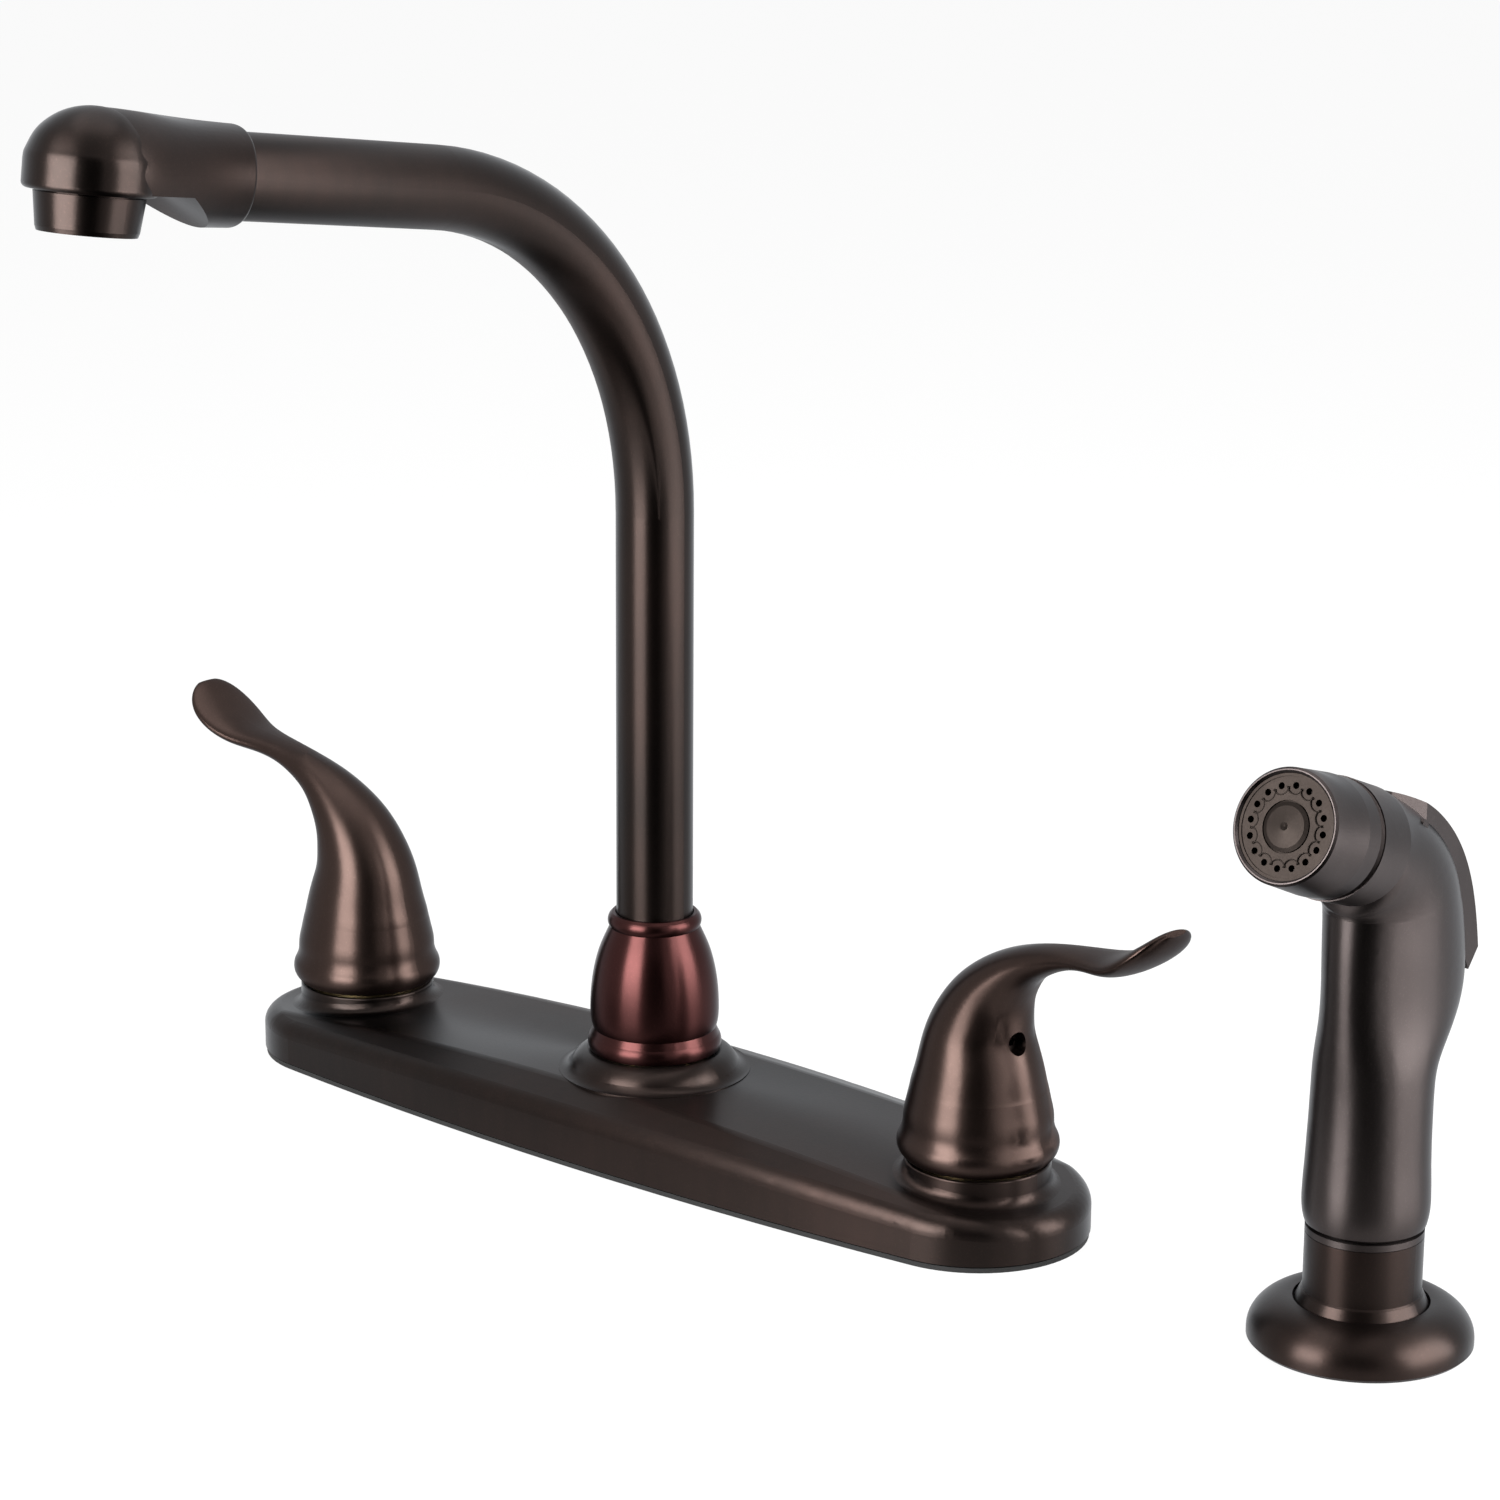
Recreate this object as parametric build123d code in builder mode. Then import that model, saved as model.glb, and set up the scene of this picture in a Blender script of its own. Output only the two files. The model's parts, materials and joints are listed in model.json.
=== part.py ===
from build123d import *
import os
from math import asin, atan, cos, degrees, radians, sin, sqrt, tan

os.makedirs("parts", exist_ok=True)

# A two handle kitchen faucet with a side sprayer, in millimetres.
# Z = 0 is the top of the sink deck, the spout swivels about Z, -Y is the user's side, and the
# sprayer stands at +X. Heights are above the deck unless a name says otherwise.

# Fits
running_fit = 0.06          # radial play of a part that turns or slides in another
free_gap = 0.3              # gap between parts that only pass each other
seat_gap = 0.1              # play between flat faces that turn on each other
rooted = 0.4                # how far a boss starts inside the wall that it stands on
cut_through = 1.0           # how far a cut runs past the wall that it goes through
quarter_turn = 90.0
edge_samples = (0.1, 0.4, 0.8)
edge_tolerance = 0.01

# Deck plate
valve_spacing = 203.2       # eight inch centres
plate_end = 27.0            # plate beyond a handle's axis
plate_end_radius = 28.0
plate_half_depth = 33.0
plate_height = 17.8         # at the middle
crown_radius = 1250.0       # the top falls away lengthwise
plate_flat = 22.0           # half width of the flat top
bevel_drop = 3.8
plate_wall = 2.6
rim_round = 4.6
crease_round = 6.0
collar_radius = 17.5
collar_height = 18.7
collar_flare = 2.6
collar_edge = 0.5
mound_height = 22.8
mound_top_radius = 17.0
mound_radius = 21.1
mound_shoulder = 19.3
mound_flare = 3.0
mound_swell = 0.63
mound_hollow = 0.5

# Pad under the plate
gasket_thick = 1.2
gasket_lip = 0.4
gasket_inset = 0.35
lip_inset = 1.3
plate_margin = 5.0
shank_play = 1.2            # the deck holes and the pad clear the shanks by this much

# Valves
shank_radius = 10.4         # 1/2-14 straight pipe thread
shank_length = 58.0
shank_bore = 7.0
valve_flange = 14.0
neck_radius = 11.0
neck_top = 24.0
cartridge_radius = 8.0
cartridge_depth = 30.0
cartridge_cap = 2.0
bonnet_radius = 14.8
bonnet_flange = 2.2
bonnet_flats = 25.5
bonnet_height = 6.6
stem_radius = 4.0
stem_foot_radius = 5.6
stem_foot = 10.0
stem_top = 53.5
stem_o_ring_size = 1.3
bonnet_chamfer = 0.6
cartridge_wall = 2.0
o_ring_slack = 0.05

# Cross tubes
tube_height = 5.5
cross_tube_radius = 3.175
cross_tube_wall = 0.8
cross_tube_entry = 4.0

# Spout hub
hub_flange = 16.5
hub_flange_top = 14.6
hub_radius = 13.0
hub_top = 40.2
hub_bore_floor = 20.0
diverter_chamber = 6.0
diverter_floor = 3.6
nipple_radius = 6.58        # 1/4 straight pipe thread
nipple_length = 26.0
nipple_bore = 3.6
diverter_length = 11.0
diverter_head = 3.0
diverter_foot = 2.0
diverter_seat = 1.0         # how far the foot laps its seat
diverter_waist = 0.8

# Spout
spout_radius = 9.525        # 3/4 inch tube
spout_wall = 1.5
spout_foot = 44.0
bend_start = 160.0
bend_radius = 87.1
bend_angle = 82.0
run_length = 71.0           # from the bend's end into the head
fitting_radius = 8.6
fitting_flange = 11.3
fitting_bottom = 25.0
fitting_bore = 5.5
fitting_spigot = 8.0
fitting_spigot_length = 8.0
groove_depth = 1.3
groove_width = 1.9
groove_heights = (29.5, 35.5)
bushing_height = 2.1
nut_top = 58.5
nut_bottom = 23.3
nut_widest = 16.1
nut_foot_radius = 16.4
nut_foot_height = 3.6
nut_foot_swell = 0.5
nut_step_radius = 15.38
nut_step_height = 5.4
nut_bulb = ((11.2, 0.0), (19.1, 0.69), (25.6, 2.31))    # height above the foot, drop from the widest
bead_height = 3.0
bead_neck_radius = 11.2
bead_swell = 0.5
nut_top_edge = 0.6

# Spout head, measured along the run from the end of the bend
seam_centre = 43.4
seam_radius = 21.6
seam_round = 1.1
outlet_distance = 101.9
head_radius = 14.2
head_rise = 12.8
head_lip = 5.0
head_lip_round = 1.4
head_lip_swell = 0.48
notch_height = 4.4
notch_end = 83.2
notch_slope = 0.56
head_bore = 7.6
casting_lap = 0.15          # the casting ends this far inside the outlet's dome
passage_bore = 5.2
passage_rise = 3.4          # the water way lies above the middle, clear of the notch
aerator_radius = 11.7
aerator_tip_radius = 10.5
aerator_drop = 13.5
aerator_gap = 0.4
aerator_thread = 10.6
aerator_thread_length = 5.2
aerator_bore = 9.4
aerator_washer_thick = 1.8
aerator_lip = 1.0
aerator_lip_thick = 1.5
aerator_taper = 0.35
aerator_jet = 0.9
aerator_jet_rings = ((5.0, 12), (2.4, 6))    # radius, count

# Handles
bell_bottom = 19.4
bell_foot_radius = 17.3
bell_bead_height = 5.7
bell_bead_radius = 18.75
bell_bead_swell = 1.2
bell_flare_height = 9.4
bell_flare_hollow = 0.25
bell_shoulder = (17.12, 33.3)
bell_boss_gap = 0.7
bell_radius = 17.86
bell_join = 36.6
bell_join_radius = 16.4
bell_wall = 2.6
bell_roof = 40.0
boss_radius = 7.2
boss_bottom = 29.0
hot_turn = 2.1              # as the levers stand in the photograph
cold_turn = 9.4
screw_height = 50.2
screw_radius = 2.75
screw_length = 6.0
screw_socket = 1.25
screw_socket_depth = 2.5

# Under the deck
deck_thick = 10.0
washer_thick = 2.0
washer_radius = 19.0
nut_thick = 11.0
nut_radius = 16.0
wing_reach = 24.0
wing_thick = 4.0
relief_width = 1.0          # thread runout
relief_depth = 0.5

# Sprayer
sprayer_x = 205.7
sprayer_y = 4.1
base_radius = 25.3
base_height = 10.0
base_edge = 2.0
base_wall = 2.4
base_opening = 15.6
base_chamfer = 0.8
holder_flange = 15.0
holder_flange_bottom = 8.3
holder_flange_top = 9.2
holder_skirt_top = 12.0
holder_skirt_step = 0.4
holder_radius = 13.25
holder_top = 25.8
holder_shank = 12.5
holder_shank_length = 42.0
holder_bore = 11.0
bushing_ring = 1.5
bushing_wall = 0.9
bushing_depth = 14.0
ring_groove = 0.6
ring_seam = 0.15
body_bottom = 27.7
handle_edge = 0.8
handle_lap = 0.3            # a turned rim stays this far inside the lofted skin
spigot_radius = 9.9
spigot_length = 13.0
coupling_radius = 7.4
coupling_top = 22.0
coupling_bottom = 6.0
nipple_tip = -8.0
hose_nipple_radius = 4.6
hose_nipple_bore = 3.0
nipple_taper = 0.8
holder_nut_flats = 33.0
hose_washer_thick = 1.5
handle_bore = 5.0
head_bore_radius = 6.0
head_tilt = 20.0            # the spray head looks up by this much
face_forward = 39.6         # face centre from the handle's axis
face_height = 128.0
head_rear = 30.4            # along the head's axis, measured back from the face
groove_back = 18.2
head_end_radius = 13.6
cap_rear_radius = 13.4
cap_front_radius = 12.7
cap_wall = 2.3
cap_edge = 0.5
cap_taper_back = 12.5
face_hold = 0.8
neck_cover = 5.0            # the head's neck starts this far behind the face disc
face_radius = 11.4
face_sink = 0.7
face_thick = 2.3
jet_ring = 8.9
jet_radius = 0.75
jet_pad_radius = 1.9
jet_pad_sink = 0.25
jet_count = 16
button_radius = 5.4
button_rise = 0.9
button_sink = 0.6
button_slope = 0.35
button_tip = 0.9
button_dimple = 0.4
button_stem_length = 1.5
elbow_forward = 16.1        # the crook under the head, from the handle's axis
elbow_drop = 26.6           # the crook below the face's centre
trigger_half_width = 7.0
trigger_thick = 5.8
trigger_tail_back = 27.2
trigger_tail_drop = 46.4
trigger_travel = 5.0        # degrees
trigger_overtravel = 0.6
pivot_back = 1.5
pivot_drop = 7.0            # below the face's centre
pivot_boss = 4.0
pivot_pin = 1.25
proud_cut = 4.0             # the recess is open this far beyond the trigger's skin
tail_gap = 0.6
plunger_drop = 40.0         # below the face's centre
plunger_stem = 1.8
plunger_head = 4.1
plunger_room = 15.5         # chamber length in front of the gland
gland_face = 19.5
pin_half_length = 9.5
gland_thick = 3.5
plunger_head_thick = 3.0
plunger_gap = 0.5
spring_inner = 2.4
button_stem = 2.0
groove_gap = 0.4            # the dark line behind the nozzle cap
spring_wall = 0.9
spring_length = 8.0
plunger_tail = 5.0


def section_plane(origin, axis):
    """A plane whose X is the radius and whose Y is the given axis, for turned shapes."""
    across = Vector(1, 0, 0)
    return Plane(origin, x_dir=across, z_dir=across.cross(Vector(*axis)))


def upright(x=0.0, y=0.0):
    return section_plane((x, y, 0), (0, 0, 1))


def turn(profile, plane, mode=Mode.ADD):
    """Turn a closed outline of (radius, height) points about the plane's Y axis."""
    with BuildSketch(plane) as section:
        with BuildLine():
            Polyline(*profile, close=True)
        make_face()
    revolve(section.sketch, axis=Axis(plane.origin, plane.y_dir), mode=mode)


def oval(centre, along, normal, half_long, half_short):
    """One oval section of a lofted shape."""
    with BuildSketch(Plane(centre, x_dir=along, z_dir=normal)) as section:
        Ellipse(half_long, half_short)
    return section.sketch.face()


def ring(inner, outer, low, high):
    return [(inner, low), (outer, low), (outer, high), (inner, high)]


def relieved(radius, low, high):
    """The side of a threaded shank with a runout groove that ends at a height."""
    root = radius - relief_depth
    groove = high - relief_width
    return [(radius, low), (radius, groove), (root, groove), (root, high), (radius, high)]


def save(builder, name):
    builder.part.label = name
    export_step(builder.part, f"parts/{name}.step")


# Deck plate ---------------------------------------------------------------------------------
valve_x = valve_spacing / 2
plate_base = gasket_thick + gasket_lip
end_centre = valve_x + plate_end - plate_end_radius
bow = plate_half_depth - plate_end_radius
side_centre = (end_centre**2 - bow**2) / (2 * bow)
crown_centre = plate_height - crown_radius
bevel_slope = bevel_drop / (plate_half_depth - plate_flat)


def crown_z(x):
    """Height of the plate's top on its centre line."""
    return crown_centre + sqrt(crown_radius**2 - x**2)


def plate_outline(inset, height):
    """The plate from above: two bowed sides, each tangent to a round end."""
    side_radius = side_centre + plate_half_depth
    lean = end_centre / (side_radius - plate_end_radius)
    rise = side_centre / (side_radius - plate_end_radius)
    join_x = end_centre + (plate_end_radius - inset) * lean
    join_y = (plate_end_radius - inset) * rise
    side = plate_half_depth - inset
    end = end_centre + plate_end_radius - inset
    with BuildSketch(Plane.XY.offset(height)) as outline:
        with BuildLine():
            ThreePointArc((-join_x, join_y), (0, side), (join_x, join_y))
            ThreePointArc((join_x, join_y), (end, 0), (join_x, -join_y))
            ThreePointArc((join_x, -join_y), (0, -side), (-join_x, -join_y))
            ThreePointArc((-join_x, -join_y), (-end, 0), (-join_x, join_y))
        make_face()
    return outline.sketch


def crowned(inset):
    """Keep what lies under the crowned top, which bevels down to both sides."""
    spread = asin((end_centre + plate_end_radius + plate_margin) / crown_radius)
    top = crown_radius - inset
    flat = plate_flat - inset * tan(atan(bevel_slope) / 2)
    side = plate_half_depth + plate_margin
    low = top - 2 * plate_height
    edge = top - bevel_slope * (side - flat)
    start = Plane((0, 0, crown_centre), x_dir=(0, 1, 0), z_dir=(cos(spread), 0, sin(spread)))
    with BuildSketch(start) as section:
        with BuildLine():
            half = [(side, low), (side, edge), (flat, top)]
            Polyline(*half, *[(-y, z) for y, z in reversed(half)], close=True)
        make_face()
    axis = Axis((0, 0, crown_centre), (0, 1, 0))
    revolve(section.sketch, axis=axis, revolution_arc=degrees(2 * spread), mode=Mode.INTERSECT)


def top_faces(found):
    return found.filter_by(lambda face: face.normal_at().Z > 0.5)


def wall_faces(found):
    return found.filter_by(lambda face: abs(face.normal_at().Z) < 0.1)


def around(found, x, radius):
    """The edges that stand at a radius from the upright axis through x."""
    def near(edge):
        reaches = [Vector((edge @ share).X - x, (edge @ share).Y).length for share in edge_samples]
        return all(abs(reach - radius) < edge_tolerance for reach in reaches)

    return found.filter_by(near)


def on_crown(edge):
    points = [edge @ share for share in edge_samples]
    return all(abs(point.Z - crown_z(point.X)) < edge_tolerance for point in points)


with BuildPart() as plate_hollow:
    extrude(plate_outline(plate_wall, plate_base), amount=plate_height)
    crowned(plate_wall)

with BuildPart() as deck_plate:
    extrude(plate_outline(0, plate_base), amount=plate_height)
    crowned(0)
    fillet(top_faces(faces()).edges() - wall_faces(faces()).edges(), crease_round)
    fillet(top_faces(faces()).edges() & wall_faces(faces()).edges(), rim_round)
    add(plate_hollow.part, mode=Mode.SUBTRACT)
    for x in (-valve_x, valve_x):
        foot = crown_z(valve_x) - plate_wall + rooted
        with BuildSketch(Plane((x, 0, foot))):
            Circle(collar_radius)
        extrude(amount=collar_height - foot)
        fillet(around(edges(), x, collar_radius).filter_by(on_crown), collar_flare)
        fillet(around(edges(), x, collar_radius).sort_by(Axis.Z)[-1], collar_edge)
    skirt = mound_radius + mound_flare
    mound_root = plate_height - plate_wall + rooted
    with BuildSketch(upright()):
        with BuildLine():
            slope = SagittaArc((mound_top_radius, mound_height), (mound_radius, mound_shoulder), mound_swell)
            flare = SagittaArc(slope @ 1, (skirt, plate_height), -mound_hollow)
            Polyline(flare @ 1, (skirt, mound_root), (0, mound_root), (0, mound_height), slope @ 0)
        make_face()
    revolve(axis=Axis.Z)
    for x in (-valve_x, valve_x):
        with BuildSketch(Plane((x, 0, 0))):
            Circle(neck_radius + free_gap)
        extrude(amount=2 * collar_height, mode=Mode.SUBTRACT)
    with BuildSketch():
        Circle(hub_radius + free_gap)
    extrude(amount=2 * mound_height, mode=Mode.SUBTRACT)
save(deck_plate, "deck_plate")

with BuildPart() as deck_gasket:
    extrude(plate_outline(gasket_inset, 0), amount=gasket_thick)
    extrude(plate_outline(lip_inset, gasket_thick), amount=gasket_lip)
    with BuildSketch():
        with Locations((-valve_x, 0), (valve_x, 0)):
            Circle(shank_radius + shank_play)
        Circle(nipple_radius + shank_play)
    extrude(amount=plate_base, mode=Mode.SUBTRACT)
save(deck_gasket, "deck_gasket")

# Valves, one on each side --------------------------------------------------------------------
chamber_floor = neck_top - cartridge_depth
valve_flange_top = crown_z(valve_x + valve_flange) - plate_wall - free_gap
cap_top = neck_top + cartridge_cap
bonnet_top = collar_height + bonnet_flange + bonnet_height
port_radius = cross_tube_radius + running_fit
o_ring_floor = stem_foot_radius - stem_o_ring_size
o_ring_height = (stem_foot + cap_top) / 2

washer_top = -deck_thick
nut_top_z = washer_top - washer_thick
nut_bottom_z = nut_top_z - nut_thick

for side, name in ((-1, "hot"), (1, "cold")):
    x = side * valve_x
    axis = upright(x)

    with BuildPart() as valve_body:
        outer = relieved(shank_radius, -shank_length, nut_bottom_z - relief_width)
        outer += [(shank_radius, plate_base), (valve_flange, plate_base)]
        outer += [(valve_flange, valve_flange_top), (neck_radius, valve_flange_top)]
        outer += [(neck_radius, neck_top)]
        inner = [(cartridge_radius, neck_top), (cartridge_radius, chamber_floor)]
        inner += [(shank_bore, chamber_floor), (shank_bore, -shank_length)]
        turn(outer + inner, axis)
        with BuildSketch(Plane((x, 0, tube_height), x_dir=(0, 1, 0), z_dir=(-side, 0, 0))):
            Circle(port_radius)
        extrude(amount=valve_flange + cut_through, mode=Mode.SUBTRACT)
    save(valve_body, f"{name}_valve_body")

    with BuildPart() as cartridge:
        shell = cartridge_radius - running_fit
        bore = stem_foot_radius + running_fit
        brim = neck_radius - running_fit
        core = shank_bore - cartridge_wall
        rest = stem_foot - seat_gap
        outer = [(core, chamber_floor), (shell, chamber_floor), (shell, neck_top), (brim, neck_top)]
        turn(outer + [(brim, cap_top), (bore, cap_top), (bore, rest), (core, rest)], axis)
        with BuildSketch(Plane((x, 0, tube_height), x_dir=(0, 1, 0), z_dir=(-side, 0, 0))):
            Circle(cross_tube_radius - cross_tube_wall)
        extrude(amount=cartridge_radius + cut_through, mode=Mode.SUBTRACT)
    save(cartridge, f"{name}_cartridge")

    with BuildPart() as bonnet:
        with BuildSketch(Plane((x, 0, collar_height))):
            Circle(bonnet_radius)
        extrude(amount=bonnet_flange)
        with BuildSketch(Plane((x, 0, collar_height + bonnet_flange))):
            RegularPolygon(bonnet_flats / 2, 6, major_radius=False)
        extrude(amount=bonnet_height)
        bore = neck_radius + running_fit
        eye = stem_foot_radius + free_gap
        turn(ring(0, bore, collar_height, cap_top), axis, Mode.SUBTRACT)
        turn(ring(0, eye, collar_height, bonnet_top), axis, Mode.SUBTRACT)
        chamfer(edges().filter_by(GeomType.LINE).filter_by(Axis.Z), bonnet_chamfer)
    save(bonnet, f"{name}_bonnet")

    with BuildPart() as stem:
        groove_low = o_ring_height - stem_o_ring_size / 2
        groove_high = o_ring_height + stem_o_ring_size / 2
        foot_top = bonnet_top - free_gap
        half = [(0, stem_foot), (stem_foot_radius, stem_foot), (stem_foot_radius, groove_low)]
        half += [(o_ring_floor, groove_low), (o_ring_floor, groove_high), (stem_foot_radius, groove_high)]
        half += [(stem_foot_radius, foot_top), (stem_radius, foot_top), (stem_radius, stem_top)]
        turn(half + [(0, stem_top)], axis)
    save(stem, f"{name}_stem")

    with BuildPart() as stem_o_ring:
        with BuildSketch(axis):
            with Locations((o_ring_floor + stem_o_ring_size / 2, o_ring_height)):
                Circle(stem_o_ring_size / 2 - o_ring_slack)
        revolve(axis=Axis((x, 0, 0), (0, 0, 1)))
    save(stem_o_ring, f"{name}_stem_o_ring")

    with BuildPart() as cross_tube:
        start = hub_flange - cross_tube_entry
        length = valve_x - valve_flange + cross_tube_entry - start
        with BuildSketch(Plane((side * start, 0, tube_height), x_dir=(0, 1, 0), z_dir=(side, 0, 0))):
            Circle(cross_tube_radius)
            Circle(cross_tube_radius - cross_tube_wall, mode=Mode.SUBTRACT)
        extrude(amount=length)
    save(cross_tube, f"{name}_cross_tube")

# Spout hub -----------------------------------------------------------------------------------
with BuildPart() as spout_hub:
    outer = relieved(nipple_radius, -nipple_length, -relief_width / 2)
    outer += [(nipple_radius, plate_base), (hub_flange, plate_base)]
    outer += [(hub_flange, hub_flange_top), (hub_radius, hub_flange_top), (hub_radius, hub_top)]
    hub_bore = fitting_radius + running_fit
    inner = [(hub_bore, hub_top), (hub_bore, hub_bore_floor), (diverter_chamber, hub_bore_floor)]
    inner += [(diverter_chamber, diverter_floor), (nipple_bore, diverter_floor)]
    inner += [(nipple_bore, -nipple_length)]
    turn(outer + inner, upright())
    for side in (-1, 1):
        with BuildSketch(Plane((0, 0, tube_height), x_dir=(0, 1, 0), z_dir=(side, 0, 0))):
            Circle(port_radius)
        extrude(amount=hub_flange + cut_through, mode=Mode.SUBTRACT)
save(spout_hub, "spout_hub")

with BuildPart() as diverter_piston:
    low = diverter_floor + seat_gap
    high = low + diverter_length
    foot = nipple_bore + diverter_seat
    waist = nipple_bore - diverter_waist
    crown = diverter_chamber - running_fit
    half = [(0, low), (foot, low), (foot, low + diverter_foot), (waist, low + diverter_foot)]
    half += [(waist, high - diverter_head), (crown, high - diverter_head), (crown, high), (0, high)]
    turn(half, upright())
save(diverter_piston, "diverter_piston")

# Spout -----------------------------------------------------------------------------------------
fitting_flange_bottom = hub_top + seat_gap
with BuildPart() as spout_end_fitting:
    outer = [(fitting_bore, fitting_bottom), (fitting_radius, fitting_bottom)]
    for z in groove_heights:
        outer += [(fitting_radius, z), (fitting_radius - groove_depth, z)]
        outer += [(fitting_radius - groove_depth, z + groove_width), (fitting_radius, z + groove_width)]
    outer += [(fitting_radius, fitting_flange_bottom), (fitting_flange, fitting_flange_bottom)]
    outer += [(fitting_flange, spout_foot), (fitting_spigot, spout_foot)]
    spigot_top = spout_foot + fitting_spigot_length
    outer += [(fitting_spigot, spigot_top), (fitting_bore, spigot_top)]
    turn(outer, upright())
save(spout_end_fitting, "spout_end_fitting")

with BuildPart() as spout_o_rings:
    with BuildSketch(Plane.XZ):
        for z in groove_heights:
            with Locations((fitting_radius - groove_depth / 2, z + groove_width / 2)):
                Circle(groove_depth / 2 - o_ring_slack)
    revolve(axis=Axis.Z)
save(spout_o_rings, "spout_o_rings")

bushing_top = spout_foot + bushing_height
with BuildPart() as swivel_bushing:
    turn(ring(spout_radius + running_fit, fitting_flange, spout_foot, bushing_top), upright())
save(swivel_bushing, "swivel_bushing")

tube_gap = spout_radius + free_gap
thread_bore = hub_radius + running_fit
cavity = fitting_flange + free_gap
shoulder = bushing_top + seat_gap
with BuildPart() as spout_nut:
    with BuildSketch(upright()):
        with BuildLine():
            base = Line((thread_bore, nut_bottom), (nut_foot_radius, nut_bottom))
            foot = SagittaArc(base @ 1, (nut_widest, nut_bottom + nut_foot_height), -nut_foot_swell)
            step = Line(foot @ 1, (nut_step_radius, nut_bottom + nut_step_height))
            belly = [(nut_widest - drop, nut_bottom + height) for height, drop in nut_bulb]
            neck = (bead_neck_radius, nut_top - nut_top_edge - bead_height)
            bulb = Spline(step @ 1, *belly, neck, tangents=[(0.45, 1), (-0.45, 1)])
            bead = SagittaArc(neck, (bead_neck_radius, nut_top - nut_top_edge), -bead_swell)
            Polyline(
                bead @ 1,
                (bead_neck_radius - nut_top_edge, nut_top),
                (tube_gap, nut_top),
                (tube_gap, shoulder),
                (cavity, shoulder),
                (cavity, hub_top + seat_gap),
                (thread_bore, hub_top + seat_gap),
                base @ 0,
            )
        make_face()
    revolve(axis=Axis.Z)
save(spout_nut, "spout_nut")

bend = radians(bend_angle)
run_direction = Vector(0, -sin(bend), cos(bend))
bend_end = Vector(0, -bend_radius * (1 - cos(bend)), bend_start + bend_radius * sin(bend))
outlet_direction = Vector(0, -cos(bend), -sin(bend))
head_centre = bend_end + run_direction * outlet_distance
run_plane = section_plane(bend_end, run_direction)
outlet_plane = section_plane(head_centre, outlet_direction)

with BuildPart() as spout_tube:
    with BuildLine(Plane.YZ) as route:
        riser = Line((0, spout_foot), (0, bend_start))
        elbow = CenterArc((-bend_radius, bend_start), bend_radius, 0, bend_angle)
        run_end = bend_end + run_direction * run_length
        Line((bend_end.Y, bend_end.Z), (run_end.Y, run_end.Z))
    with BuildSketch(Plane.XY.offset(spout_foot)):
        Circle(spout_radius)
        Circle(spout_radius - spout_wall, mode=Mode.SUBTRACT)
    sweep(path=route.wire())
save(spout_tube, "spout_tube")

# Spout head -----------------------------------------------------------------------------------
socket_end = run_length + 0.5
# Casting sections along the run: (distance, half width, half height)
casting = ((61.0, 11.0, 11.0), (70.0, 11.3, 11.2), (80.0, 12.0, 11.6), (90.0, 13.2, 12.2))
crown_curve = [(sin(radians(angle)), -cos(radians(angle))) for angle in (15, 30, 45, 60, 75)]

with BuildPart() as spout_head:
    across = Vector(1, 0, 0)
    sections = []
    outlet_end = (outlet_distance, head_radius - casting_lap, head_rise - casting_lap)
    for along, half_width, half_height in (*casting, outlet_end):
        sections.append(oval(bend_end + run_direction * along, across, run_direction, half_width, half_height))
    loft(sections)
    with BuildSketch(Plane(bend_end + run_direction * seam_centre, x_dir=(0, 1, 0), z_dir=(1, 0, 0))):
        Circle(seam_radius)
    extrude(amount=2 * head_radius, both=True, mode=Mode.SUBTRACT)
    fillet(edges().sort_by(Axis(bend_end, run_direction))[0:2], seam_round)
    under = Plane(head_centre, x_dir=run_direction * -1, z_dir=(1, 0, 0))
    with BuildSketch(under):
        back = outlet_distance - notch_end
        deep = 2 * head_radius
        slant = back + (deep - notch_height) / notch_slope
        Polygon((-deep, -notch_height), (back, -notch_height), (slant, -deep), (-deep, -deep), align=None)
    extrude(amount=2 * head_radius, both=True, mode=Mode.SUBTRACT)
    with BuildSketch(outlet_plane):
        with BuildLine():
            meridian = [(head_radius * x, head_rise * y) for x, y in crown_curve]
            crown = Spline((0, -head_rise), *meridian, (head_radius, 0), tangents=[(1, 0), (0, 1)])
            lip_start = (head_radius, head_lip - head_lip_round)
            lip = SagittaArc(lip_start, (head_radius - head_lip_round, head_lip), -head_lip_swell)
            Line(crown @ 1, lip @ 0)
            Polyline(lip @ 1, (0, head_lip), (0, -head_rise))
        make_face()
    revolve(axis=Axis(outlet_plane.origin, outlet_plane.y_dir))
    turn(ring(0, spout_radius + running_fit, 0, socket_end), run_plane, Mode.SUBTRACT)
    passage = section_plane(bend_end - outlet_direction * passage_rise, run_direction)
    turn(ring(0, passage_bore, 0, outlet_distance), passage, Mode.SUBTRACT)
    seat = head_lip + aerator_gap - aerator_thread_length
    washer_seat = seat - aerator_washer_thick
    turn(ring(0, aerator_thread + running_fit, washer_seat, deep), outlet_plane, Mode.SUBTRACT)
    turn(ring(0, head_bore, -passage_rise - passage_bore / 2, deep), outlet_plane, Mode.SUBTRACT)
save(spout_head, "spout_head")

with BuildPart() as aerator_shell:
    rim = head_lip + aerator_gap
    outer = [(aerator_bore, seat), (aerator_thread, seat), (aerator_thread, rim), (aerator_radius, rim)]
    hold = aerator_drop - aerator_lip_thick
    outlet = aerator_bore - aerator_lip
    outer += [(aerator_tip_radius + aerator_taper, aerator_drop - aerator_lip)]
    outer += [(aerator_tip_radius, aerator_drop)]
    turn(outer + [(outlet, aerator_drop), (outlet, hold), (aerator_bore, hold)], outlet_plane)
save(aerator_shell, "aerator_shell")

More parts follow.
